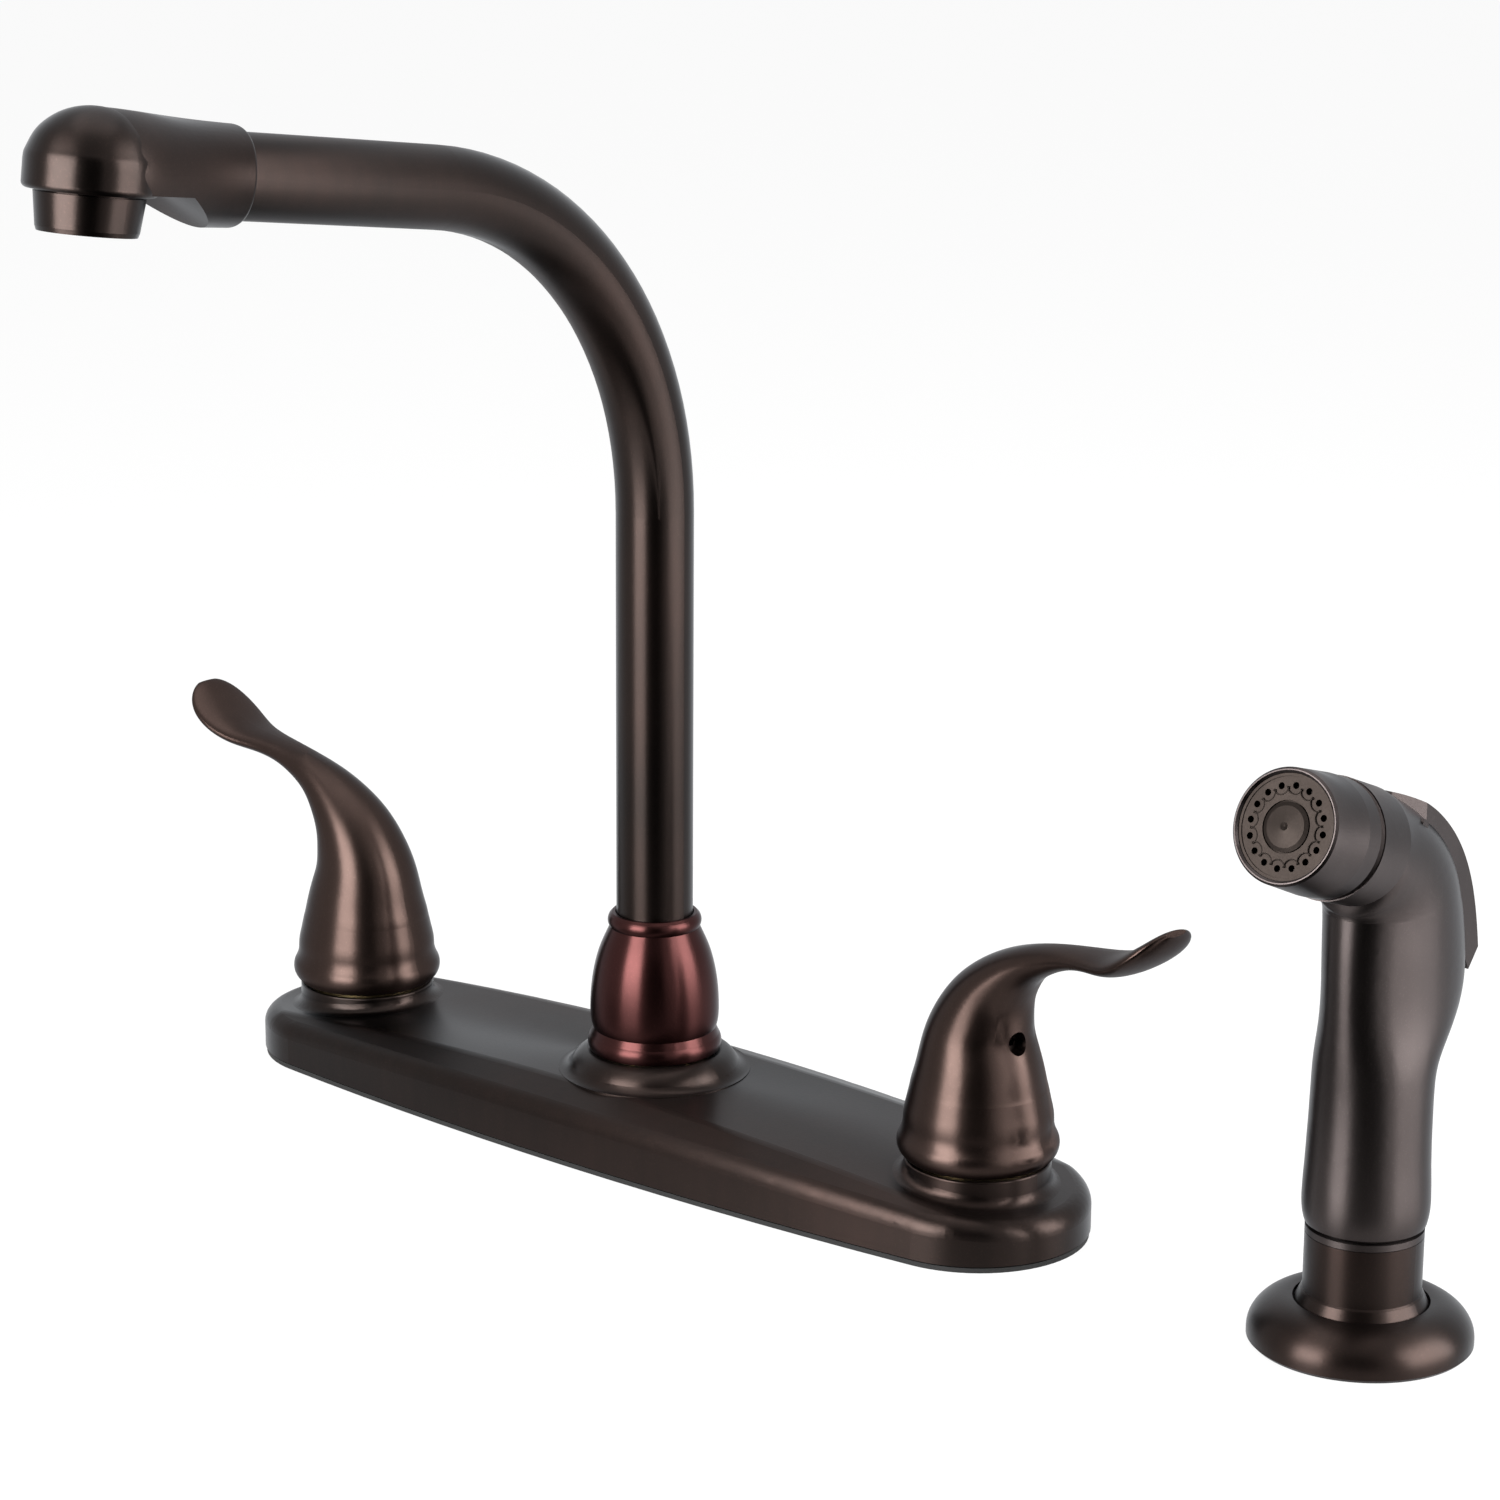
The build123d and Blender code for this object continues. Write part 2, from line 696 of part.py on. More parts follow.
with BuildPart() as aerator_insert:
    cup = aerator_bore - 2 * aerator_lip
    turn(ring(0, aerator_bore - running_fit, seat, hold), outlet_plane)
    turn(ring(0, cup, seat, seat + aerator_washer_thick), outlet_plane, Mode.SUBTRACT)
    with BuildSketch(outlet_plane.rotated((90, 0, 0))):
        for jet_radius_at, jets in aerator_jet_rings:
            with PolarLocations(jet_radius_at, jets):
                Circle(aerator_jet)
    extrude(amount=2 * head_radius, both=True, mode=Mode.SUBTRACT)
save(aerator_insert, "aerator_insert")

with BuildPart() as aerator_washer:
    turn(ring(aerator_bore - aerator_lip, aerator_thread, seat - aerator_washer_thick, seat), outlet_plane)
save(aerator_washer, "aerator_washer")

# Handles ----------------------------------------------------------------------------------------
# Lever sections from the side: (outward, up) on the back, (outward, up) underneath, half width
lever_sections = (
    ((-15.6, 40.0), (15.6, 40.0), 15.6),
    ((-14.7, 43.7), (14.4, 44.7), 14.6),
    ((-13.0, 50.6), (12.9, 49.3), 13.2),
    ((-8.6, 59.1), (12.5, 52.7), 11.8),
    ((-2.5, 65.8), (12.7, 57.2), 10.4),
    ((4.9, 70.8), (14.3, 61.4), 8.9),
    ((12.5, 74.2), (17.7, 66.1), 7.3),
    ((20.5, 76.5), (23.0, 69.8), 6.1),
    ((28.6, 78.1), (29.8, 72.7), 5.6),
    ((37.0, 79.3), (37.8, 74.3), 6.4),
    ((44.5, 80.6), (46.1, 75.5), 8.4),
    ((51.0, 83.3), (53.8, 79.0), 9.8),
    ((56.4, 86.8), (59.4, 83.9), 8.6),
    ((59.4, 89.0), (61.4, 87.1), 5.9),
    ((61.0, 89.8), (62.2, 88.7), 3.2),
)

for heading, side, name in ((180 - hot_turn, -1, "hot"), (-cold_turn, 1, "cold")):
    x = side * valve_x
    axis = upright(x)
    out = Vector(cos(radians(heading)), sin(radians(heading)), 0)
    sideways = Vector(-out.Y, out.X, 0)
    upward = Vector(0, 0, 1)
    centre = Vector(x, 0, 0)

    with BuildPart() as lever:
        sections = [oval(centre + upward * bell_join, sideways, upward, bell_join_radius, bell_join_radius)]
        for back, belly, half_width in lever_sections:
            high = centre + out * back[0] + upward * back[1]
            low = centre + out * belly[0] + upward * belly[1]
            normal = sideways.cross(high - low)
            sections.append(oval((high + low) / 2, sideways, normal, half_width, (high - low).length / 2))
        loft(sections)
        with BuildSketch(axis):
            with BuildLine():
                crease = (bell_bead_radius, bell_bottom + bell_bead_height)
                bead = SagittaArc((bell_foot_radius, bell_bottom), crease, -bell_bead_swell)
                wall = (bell_radius, bell_bottom + bell_flare_height)
                flare = SagittaArc(crease, wall, bell_flare_hollow)
                shoulder = Spline(
                    wall,
                    bell_shoulder,
                    (bell_join_radius, bell_join),
                    tangents=[(0, 1), (-0.24, 1)],
                )
                Polyline(shoulder @ 1, (0, bell_join), (0, bell_bottom), bead @ 0)
            make_face()
        revolve(axis=Axis((x, 0, 0), (0, 0, 1)))
        inside = bell_radius - bell_wall
        hollow = [(boss_radius, bell_bottom), (inside, bell_bottom), (inside, boss_bottom)]
        hollow += [(bell_join_radius - bell_wall - bell_boss_gap, bell_roof), (boss_radius, bell_roof)]
        turn(hollow, axis, Mode.SUBTRACT)
        turn(ring(0, boss_radius, bell_bottom, boss_bottom), axis, Mode.SUBTRACT)
        turn(ring(0, stem_radius + running_fit, bell_bottom, stem_top + free_gap), axis, Mode.SUBTRACT)
        screw_plane = Plane(centre + upward * screw_height, x_dir=sideways, z_dir=out)
        with BuildSketch(screw_plane):
            Circle(screw_radius)
        extrude(amount=bell_radius, mode=Mode.SUBTRACT)
    save(lever, f"{name}_lever")

    with BuildPart() as set_screw:
        with BuildSketch(screw_plane.offset(stem_radius + running_fit)):
            Circle(screw_radius - running_fit)
        extrude(amount=screw_length)
        with BuildSketch(screw_plane.offset(stem_radius + screw_length - screw_socket_depth)):
            RegularPolygon(screw_socket, 6, major_radius=False)
        extrude(amount=screw_length, mode=Mode.SUBTRACT)
    save(set_screw, f"{name}_set_screw")

# Under the deck -----------------------------------------------------------------------------------
with BuildPart() as mounting_washers:
    for x in (-valve_x, valve_x):
        turn(ring(shank_radius + free_gap, washer_radius, nut_top_z, washer_top), upright(x))
save(mounting_washers, "mounting_washers")

with BuildPart() as mounting_nuts:
    for x in (-valve_x, valve_x):
        with BuildSketch(Plane((x, 0, nut_bottom_z))):
            Circle(nut_radius)
            Rectangle(2 * wing_reach, wing_thick)
            Rectangle(wing_thick, 2 * wing_reach)
            Circle(shank_radius + running_fit, mode=Mode.SUBTRACT)
        extrude(amount=nut_thick)
save(mounting_nuts, "mounting_nuts")

# Sprayer's holder ----------------------------------------------------------------------------------
spray_axis = upright(sprayer_x, sprayer_y)
base_floor = holder_flange_bottom
hollow_top = base_floor - base_wall
dome_width = base_radius - base_opening

with BuildPart() as sprayer_base:
    with BuildSketch(spray_axis):
        with BuildLine():
            foot = [(0, 0), (base_radius - base_chamfer, 0), (base_radius, base_chamfer)]
            Polyline(*foot, (base_radius, base_edge))
            dome_middle = (base_opening, base_edge)
            dome_rise = base_height - base_edge
            dome = EllipticalCenterArc(dome_middle, dome_width, dome_rise, 0, arc_size=quarter_turn)
            Polyline(dome @ 1, (0, base_height), (0, 0))
        make_face()
    revolve(axis=Axis(spray_axis.origin, (0, 0, 1)))
    with BuildSketch(spray_axis):
        with BuildLine():
            hollow_middle = (base_opening - base_wall, 0)
            under = EllipticalCenterArc(hollow_middle, dome_width, hollow_top, 0, arc_size=quarter_turn)
            Polyline(under @ 1, (0, hollow_top), (0, 0), under @ 0)
        make_face()
    revolve(axis=Axis(spray_axis.origin, (0, 0, 1)), mode=Mode.SUBTRACT)
    turn(ring(0, holder_flange + free_gap, base_floor, 2 * base_height), spray_axis, Mode.SUBTRACT)
    turn(ring(0, holder_shank + free_gap, 0, 2 * base_height), spray_axis, Mode.SUBTRACT)
save(sprayer_base, "sprayer_base")

with BuildPart() as sprayer_holder:
    outer = [(holder_shank, -holder_shank_length), (holder_shank, base_floor), (holder_flange, base_floor)]
    outer += [(holder_flange, holder_flange_top), (holder_radius + holder_skirt_step, holder_skirt_top)]
    outer += [(holder_radius, holder_skirt_top + holder_skirt_step)]
    outer += [(holder_radius, holder_top), (holder_bore, holder_top), (holder_bore, -holder_shank_length)]
    turn(outer, spray_axis)
save(sprayer_holder, "sprayer_holder")

ring_low = holder_top + ring_seam
ring_high = ring_low + bushing_ring
bushing_bore = holder_bore - running_fit - bushing_wall
with BuildPart() as holder_bushing:
    sleeve = holder_bore - running_fit
    sleeve_low = ring_low - bushing_depth
    groove = holder_radius - ring_groove
    outer = [(bushing_bore, sleeve_low), (sleeve, sleeve_low), (sleeve, holder_top), (groove, holder_top)]
    outer += [(groove, ring_low), (holder_radius, ring_low), (holder_radius, ring_high)]
    turn(outer + [(bushing_bore, ring_high)], spray_axis)
save(holder_bushing, "holder_bushing")

with BuildPart() as holder_washer:
    turn(ring(holder_shank + free_gap, washer_radius, nut_top_z, washer_top), spray_axis)
save(holder_washer, "holder_washer")

with BuildPart() as holder_nut:
    with BuildSketch(Plane((sprayer_x, sprayer_y, nut_bottom_z))):
        RegularPolygon(holder_nut_flats / 2, 6, major_radius=False)
        Circle(holder_shank + running_fit, mode=Mode.SUBTRACT)
    extrude(amount=nut_thick)
save(holder_nut, "holder_nut")

# Hose coupling in the foot of the sprayer -------------------------------------------------------------
spigot_radius = bushing_bore - running_fit
spigot_low = body_bottom - spigot_length
with BuildPart() as hose_coupling:
    collar = spigot_radius - running_fit
    collar_top_z = spigot_low - seat_gap
    outer = [(hose_nipple_bore, nipple_tip), (hose_nipple_radius - nipple_taper, nipple_tip)]
    outer += [(hose_nipple_radius, nipple_tip + nipple_taper), (hose_nipple_radius, coupling_bottom)]
    outer += [(collar, coupling_bottom), (collar, collar_top_z), (coupling_radius, collar_top_z)]
    turn(outer + [(coupling_radius, coupling_top), (hose_nipple_bore, coupling_top)], spray_axis)
save(hose_coupling, "hose_coupling")

with BuildPart() as hose_washer:
    washer = ring(hose_nipple_bore, coupling_radius, coupling_top, coupling_top + hose_washer_thick)
    turn(washer, spray_axis)
save(hose_washer, "hose_washer")

# Sprayer -----------------------------------------------------------------------------------------------
handle_foot = Vector(sprayer_x, sprayer_y, 0)
tilt = radians(head_tilt)
head_back = Vector(0, cos(tilt), -sin(tilt))
elbow_height = face_height - elbow_drop
pivot_height = face_height - pivot_drop
plunger_height = face_height - plunger_drop
face_centre = handle_foot + Vector(0, -face_forward, face_height)
head_plane = section_plane(face_centre, head_back)
fore = Vector(0, 1, 0)
crook = handle_foot + Vector(0, -elbow_forward, elbow_height)

# Handle sections: (share of the way from the foot to the crook, front, back, half width)
handle_sections = (
    (0.0, 13.5, 13.5, 13.5),
    (0.062, 14.3, 14.3, 14.2),
    (0.158, 14.1, 14.1, 14.0),
    (0.295, 13.7, 14.0, 13.6),
    (0.405, 13.5, 14.3, 13.4),
    (0.501, 13.6, 15.9, 13.3),
    (0.583, 13.8, 21.3, 13.2),
    (0.672, 14.0, 26.6, 13.0),
    (0.782, 14.3, 28.2, 12.9),
    (0.892, 14.5, 26.9, 12.9),
)
# Elbow sections about the crook: (turn, near side, far side, half width)
elbow_sections = (
    (0.0, 1.6, 40.4, 12.9),
    (17.5, 1.6, 36.6, 12.9),
    (35.0, 1.7, 32.7, 13.0),
    (52.5, 1.8, 30.2, 13.1),
)
head_circles = ((head_rear, 13.3), (26.0, 13.4), (groove_back + handle_edge, head_end_radius))

pivot = handle_foot + Vector(0, pivot_back, pivot_height)
# The trigger's outer line from its front tip over the top and down the back:
# (back, below the face's centre)
trigger_drops = (
    (-5.4, -1.0),
    (4.0, 2.4),
    (13.0, 8.0),
    (21.4, 16.4),
    (26.5, 25.2),
    (29.4, 34.0),
    (31.0, 42.0),
)
trigger_line = [(back, face_height - drop) for back, drop in trigger_drops]
trigger_tail = (trigger_tail_back, face_height - trigger_tail_drop)
trigger_depths = (1.2, 3.9, trigger_thick, trigger_thick, trigger_thick, trigger_thick, trigger_thick)


def inward(line, depths):
    """The line moved square to itself into the body, by a depth at each point."""
    moved = []
    for index, depth in enumerate(depths):
        before = Vector(*line[max(index - 1, 0)])
        after = Vector(*line[min(index + 1, len(line) - 1)])
        along = (after - before).normalized()
        moved.append((line[index][0] + along.Y * depth, line[index][1] - along.X * depth))
    return moved


def pressed(point, angle):
    """Where a point of the trigger goes when it is pressed."""
    back = point[0] - pivot_back
    up = point[1] - pivot_height
    turned = radians(angle)
    return (
        pivot_back + back * cos(turned) + up * sin(turned),
        pivot_height + up * cos(turned) - back * sin(turned),
    )


trigger_inner = inward(trigger_line, trigger_depths)
side_view = Plane(handle_foot, x_dir=(0, 1, 0), z_dir=(1, 0, 0))
trigger_plan = ((0, -6.5), (3.2, -2.5), (trigger_half_width, 6.0), (trigger_half_width, 45.0))

with BuildPart() as trigger_recess:
    clear = inward(trigger_line, [depth + free_gap + seat_gap for depth in trigger_depths])
    over = trigger_travel + trigger_overtravel
    swept = pivot_back + pivot_boss
    deep = [point if point[0] < swept else pressed(point, over) for point in clear]
    proud = inward(trigger_line, [-proud_cut for depth in trigger_depths])
    tail = pressed(trigger_tail, over)
    with BuildSketch(side_view):
        with BuildLine():
            Polyline(
                *proud,
                (trigger_tail[0] + 2 * proud_cut, trigger_tail[1] - tail_gap),
                (trigger_tail[0] + tail_gap, trigger_tail[1] - tail_gap),
                (tail[0] - tail_gap, tail[1] - tail_gap),
                *reversed(deep),
                close=True,
            )
        make_face()
        with Locations((pivot_back, pivot_height)):
            Circle(pivot_boss + free_gap)
    extrude(amount=trigger_half_width + free_gap, both=True)
    with BuildSketch(Plane(handle_foot)):
        with BuildLine():
            right = [(x + free_gap, y - free_gap * (x < 1)) for x, y in trigger_plan]
            left = [(-x, y) for x, y in reversed(right)]
            Polyline(*right, *left, close=True)
        make_face()
    extrude(amount=2 * face_height, mode=Mode.INTERSECT)

with BuildPart() as sprayer_body:
    grip = []
    grip_foot = body_bottom + handle_edge
    for share, front, back, half_width in handle_sections:
        height = grip_foot + share * (elbow_height - grip_foot)
        middle = handle_foot + Vector(0, (back - front) / 2, height)
        grip.append(oval(middle, fore, Vector(0, 0, 1), (front + back) / 2, half_width))
    crank = []
    for turned, near, far, half_width in elbow_sections:
        lean = radians(turned)
        along = Vector(0, cos(lean), sin(lean))
        normal = Vector(0, -sin(lean), cos(lean))
        crank.append(oval(crook + along * ((near + far) / 2), along, normal, (far - near) / 2, half_width))
    head = []
    for back, radius in head_circles:
        up = Vector(0, sin(tilt), cos(tilt))
        head.append(oval(face_centre + head_back * back, up, head_back * -1, radius, radius))
    loft([*grip, crank[0]])
    loft([*crank, head[0]])
    loft(head)
    rim = handle_sections[0][1] - handle_lap
    foot = [(0, body_bottom), (rim - handle_edge, body_bottom), (rim, body_bottom + handle_edge)]
    turn(foot + [(0, body_bottom + handle_edge)], spray_axis)
    turn(ring(0, spigot_radius, spigot_low, body_bottom), spray_axis)
    rim = head_end_radius - handle_lap
    bead = [(0, groove_back), (rim - handle_edge, groove_back), (rim, groove_back + handle_edge)]
    turn(bead + [(0, groove_back + handle_edge)], head_plane)
    neck_front = face_sink + face_thick + neck_cover
    neck_outer = cap_rear_radius - cap_wall - running_fit
    turn(ring(0, neck_outer, neck_front, groove_back), head_plane)
    turn(ring(0, head_bore_radius, 0, head_rear), head_plane, Mode.SUBTRACT)
    socket_top = coupling_top + hose_washer_thick + free_gap
    turn(ring(0, coupling_radius + running_fit, 0, socket_top), spray_axis, Mode.SUBTRACT)
    turn(ring(0, handle_bore, 0, plunger_height + plunger_head), spray_axis, Mode.SUBTRACT)
    add(trigger_recess.part, mode=Mode.SUBTRACT)
    with BuildSketch(side_view.offset(-pin_half_length)):
        with Locations((pivot_back, pivot_height)):
            Circle(pivot_pin + running_fit)
    extrude(amount=2 * pin_half_length, mode=Mode.SUBTRACT)
    barrel = Plane(handle_foot + Vector(0, 0, plunger_height), x_dir=(1, 0, 0), z_dir=(0, 1, 0))
    with BuildSketch(barrel.offset(gland_face - gland_thick - plunger_room)):
        Circle(plunger_head + running_fit)
    extrude(amount=plunger_room + gland_thick + trigger_half_width, mode=Mode.SUBTRACT)
save(sprayer_body, "sprayer_body")

with BuildPart() as trigger:
    with BuildSketch(side_view):
        with BuildLine():
            skin = Spline(*trigger_line)
            Line(skin @ 1, trigger_tail)
            Line(trigger_tail, trigger_inner[-1])
            lining = Spline(*reversed(trigger_inner))
            Line(lining @ 1, skin @ 0)
        make_face()
        with Locations((pivot_back, pivot_height)):
            Circle(pivot_boss)
            Circle(pivot_pin + running_fit, mode=Mode.SUBTRACT)
    extrude(amount=trigger_half_width, both=True)
    with BuildSketch(Plane(handle_foot)):
        with BuildLine():
            left = [(-x, y) for x, y in reversed(trigger_plan[1:])]
            Polyline(*trigger_plan, *left, close=True)
        make_face()
    extrude(amount=2 * face_height, mode=Mode.INTERSECT)
save(trigger, "trigger")

with BuildPart() as trigger_pin:
    with BuildSketch(side_view.offset(-pin_half_length)):
        with Locations((pivot_back, pivot_height)):
            Circle(pivot_pin)
    extrude(amount=2 * pin_half_length)
save(trigger_pin, "trigger_pin")

# Valve behind the trigger ------------------------------------------------------------------------------
barrel_plane = section_plane(handle_foot + Vector(0, 0, plunger_height), (0, 1, 0))
gland_back = gland_face - gland_thick
plunger_back = gland_back - plunger_head_thick


def inner_reach(height):
    """How far back the trigger's inner side lies at a height."""
    for upper, lower in zip(trigger_inner, trigger_inner[1:]):
        if upper[1] >= height >= lower[1]:
            share = (upper[1] - height) / (upper[1] - lower[1])
            return upper[0] + share * (lower[0] - upper[0])
    return trigger_inner[-1][0]


with BuildPart() as plunger_gland:
    turn(ring(plunger_stem + running_fit, plunger_head, gland_back, gland_face), barrel_plane)
save(plunger_gland, "plunger_gland")

with BuildPart() as valve_plunger:
    tip = inner_reach(plunger_height) - plunger_gap
    guide = spring_inner - free_gap
    outer = [(0, plunger_back - plunger_tail), (guide, plunger_back - plunger_tail), (guide, plunger_back)]
    outer += [(plunger_head, plunger_back), (plunger_head, gland_back), (plunger_stem, gland_back)]
    turn(outer + [(plunger_stem, tip), (0, tip)], barrel_plane)
save(valve_plunger, "valve_plunger")

with BuildPart() as plunger_spring:
    coil = ring(spring_inner, spring_inner + spring_wall, plunger_back - spring_length, plunger_back)
    turn(coil, barrel_plane)
save(plunger_spring, "plunger_spring")

# Spray nozzle ------------------------------------------------------------------------------------------
face_back = face_sink + face_thick
face_open = face_radius + running_fit
cap_back = groove_back - groove_gap
neck_hold = neck_outer + running_fit
with BuildPart() as nozzle_cap:
    hold = face_radius - face_hold
    outer = [(face_open, cap_edge), (face_open + cap_edge, 0), (cap_front_radius - cap_edge, 0)]
    outer += [(cap_front_radius, cap_edge), (cap_rear_radius, cap_taper_back)]
    outer += [(cap_rear_radius, cap_back - cap_edge)]
    outer += [(cap_rear_radius - cap_edge, cap_back), (neck_hold, cap_back), (neck_hold, neck_front)]
    turn(outer + [(hold, neck_front), (hold, face_back), (face_open, face_back)], head_plane)
save(nozzle_cap, "nozzle_cap")

button_seat = face_sink + button_sink
with BuildPart() as spray_face:
    turn(ring(0, face_radius, face_sink, face_back), head_plane)
    front = Plane(face_centre + head_back * face_sink, x_dir=(1, 0, 0), z_dir=head_back)
    with BuildSketch(front):
        Circle(jet_ring + jet_pad_radius)
        Circle(jet_ring, mode=Mode.SUBTRACT)
        with PolarLocations(jet_ring, jet_count):
            Circle(jet_pad_radius)
        Circle(button_radius + free_gap)
    extrude(amount=jet_pad_sink, mode=Mode.SUBTRACT)
    with BuildSketch(front):
        with PolarLocations(jet_ring, jet_count):
            Circle(jet_radius)
        Circle(button_stem + running_fit)
    extrude(amount=2 * face_thick, mode=Mode.SUBTRACT)
    turn(ring(0, button_radius + free_gap, 0, button_seat), head_plane, Mode.SUBTRACT)
save(spray_face, "spray_face")

with BuildPart() as face_button:
    summit = face_sink - button_rise
    stem_end = face_back + button_stem_length
    brow = button_radius - button_tip
    outer = [(0, summit + button_dimple), (button_tip, summit), (brow, face_sink - button_slope)]
    outer += [(button_radius, face_sink), (button_radius, button_seat), (button_stem, button_seat)]
    turn(outer + [(button_stem, stem_end), (0, stem_end)], head_plane)
save(face_button, "face_button")
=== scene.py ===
import json
from math import cos, pi, radians, sin

import bmesh
import bpy
from bpy.props import FloatProperty, FloatVectorProperty, IntProperty, PointerProperty
from mathutils import Matrix, Vector


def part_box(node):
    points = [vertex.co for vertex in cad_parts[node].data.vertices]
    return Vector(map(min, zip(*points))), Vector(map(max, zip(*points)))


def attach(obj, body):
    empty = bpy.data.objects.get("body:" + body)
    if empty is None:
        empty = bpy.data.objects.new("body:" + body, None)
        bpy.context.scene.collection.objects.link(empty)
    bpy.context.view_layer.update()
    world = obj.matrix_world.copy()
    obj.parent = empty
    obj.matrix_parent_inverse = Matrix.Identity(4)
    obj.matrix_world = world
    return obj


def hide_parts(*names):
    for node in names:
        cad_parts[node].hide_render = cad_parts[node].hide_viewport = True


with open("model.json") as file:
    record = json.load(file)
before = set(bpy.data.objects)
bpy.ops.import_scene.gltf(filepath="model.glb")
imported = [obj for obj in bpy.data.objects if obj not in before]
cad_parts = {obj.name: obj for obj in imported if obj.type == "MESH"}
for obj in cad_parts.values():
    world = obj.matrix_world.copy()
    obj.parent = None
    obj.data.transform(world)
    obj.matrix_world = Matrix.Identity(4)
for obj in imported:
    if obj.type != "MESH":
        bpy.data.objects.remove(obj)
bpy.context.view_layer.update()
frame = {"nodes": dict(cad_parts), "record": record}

bl_info = {
    "name": "Two Handle Kitchen Faucet",
    "version": (1, 0, 0),
    "blender": (4, 5, 0),
    "location": "3D View > Sidebar > Faucet",
    "description": "Dresses a two handle kitchen faucet with a side sprayer",
    "category": "Object",
}

MM = 0.001
NODES = frame["nodes"]
FINISHES = {entry["node"]: entry["material_slot"] for entry in frame["record"]["subparts"]}

# Pieces with a finish other than their slot's
TONED = {
    "hot_lever": "lever_bronze",
    "cold_lever": "lever_bronze",
    "spout_nut": "bulb_bronze",
    "trigger_pin": "bronze_plastic",
    "hot_set_screw": "bronze_finish",
    "cold_set_screw": "bronze_finish",
}
# Threaded shanks: name, node, the nut above the bare thread, radius in millimetres
SHANKS = (
    ("hot_shank", "hot_valve_body", "mounting_nuts", 10.4),
    ("cold_shank", "cold_valve_body", "mounting_nuts", 10.4),
    ("outlet", "spout_hub", None, 6.58),
    ("holder", "sprayer_holder", "holder_nut", 12.5),
)
SHORT_OF_DECK = 3.0  # millimetres under the deck where the outlet's thread stops
BARE_TURNS = 2  # turns of each shank that are left smooth under its nut
THREAD_CREST = 0.4  # how far up the pitch the crest of a thread stands
THREAD_WIDTH = 0.8  # how much of the pitch a thread takes at its root
SPRING_WIRE = 0.45  # radius in millimetres
FACE_THICK = 2.3  # millimetres
SCALLOP_ARC = radians(150)
SCALLOP_STEPS = 34  # in a whole turn
ROUND_SIDES = 10
ROUND = [2 * pi * side / ROUND_SIDES for side in range(ROUND_SIDES)]
MERGE = 0.000001

# Sizes of the patterns in the finishes: cycles in a metre
PLATING_PATCHES = 16.0
PLATING_STREAKS = 300.0
PLATING_GRAIN = 1500.0
PLATING_SPECKS = 2400.0
FACE_CLOUDS = 120.0
FACE_GRAIN = 1800.0
TOOL_MARKS = 260.0
METAL_STAINS = 60.0
MOULD_CLOUDS = 50.0
RUBBER_GRAIN = 900.0
NYLON_GRAIN = 700.0
FLOOR_GRAIN = 40.0
CLOTH_WEAVE = 400.0
STREAK_SQUEEZE = 0.12  # along Z, so that the streaks run up the pieces
BRUSH_TURN = 0.25  # of a turn, so that the brushed highlights spread upward

# Depths of the same patterns, in millimetres
PLATING_DEPTH = 0.008
FACE_DEPTH = 0.01
TOOL_DEPTH = 0.02
MOULD_DEPTH = 0.03

# The stage, in metres. Lamps: name, place, aim, size and, last, watts
LAMPS = (
    ("front_box", (-0.03, -0.6, 0.24), (0, 0, 0.12), (0.36, 0.46), 10),
    ("side_box", (0.77, 0.20, 0.34), (0.05, -0.05, 0.15), (0.66, 0.62), 16.5),
    ("top_box", (-0.1, 0.1, 1.3), (0, 0, 0), (0.9, 0.9), 5),
)
FLOOR_SIZE = 6.0
FLOOR_WHITE = 0.87  # how far the floor gives way to white where it is seen
SENSOR = 36.0  # millimetres
# Corners of the black cloth on the floor: nearest the object at its left, then round to its right
CLOTH = ((-0.12, -0.07), (0.0, -1.1), (1.25, -0.72), (0.33, -0.05))
CLOTH_LIFT = 0.001
CLOTH_HEIGHT = 1.1
CLOTH_DARK = (0.004, 0.004, 0.004)
CLOTH_LIGHT = (0.007, 0.007, 0.007)
WHITE = (1, 1, 1)


# Settings ----------------------------------------------------------------------------------------
def colour(name, description, default):
    return FloatVectorProperty(
        name=name, description=description, default=default, subtype="COLOR", size=3, min=0, max=1
    )


def length(name, description, default):
    return FloatProperty(name=name, description=description, default=default * MM, unit="LENGTH")


def angle(name, description, degrees):
    return FloatProperty(
        name=name, description=description, default=radians(degrees), unit="ROTATION"
    )


def fraction(name, description, default):
    return FloatProperty(name=name, description=description, default=default, min=0, max=1)


class FaucetFinishes(bpy.types.PropertyGroup):
    bronze: colour("Bronze", "Dark plated metal of the plate and spout", (0.0184, 0.0148, 0.0135))
    bronze_warm: colour("Worn Bronze", "Redder, thinner plating", (0.0319, 0.0212, 0.0184))
    lever: colour("Lever Bronze", "Coppery plating of the two levers", (0.0344, 0.0231, 0.0199))
    bulb: colour("Bulb Bronze", "Plating of the nut under the spout", (0.0339, 0.0131, 0.0124))
    plastic: colour("Coated Plastic", "Moulded body of the sprayer", (0.0370, 0.0309, 0.0299))
    face: colour("Spray Face", "Moulded disc that the jets come through", (0.0166, 0.0129, 0.0112))
    brass: colour("Brass", "Valve bodies and the spout hub", (0.66, 0.48, 0.22))
    copper: colour("Copper", "Tubes across the plate", (0.72, 0.34, 0.22))
    steel: colour("Steel", "Spring of the sprayer's valve", (0.55, 0.55, 0.54))
    rubber: colour("Rubber", "Pad, washers and O-rings", (0.012, 0.012, 0.012))
    nylon: colour("Nylon", "Nuts, cartridges and bushings", (0.62, 0.61, 0.57))
    roughness: fraction("Satin", "Roughness of the plating", 0.31)
    brushed: fraction("Brushed", "How far the satin grain spreads highlights upward", 0.75)
    rim: fraction("Rim", "How bright plating is at a glancing angle", 0.92)


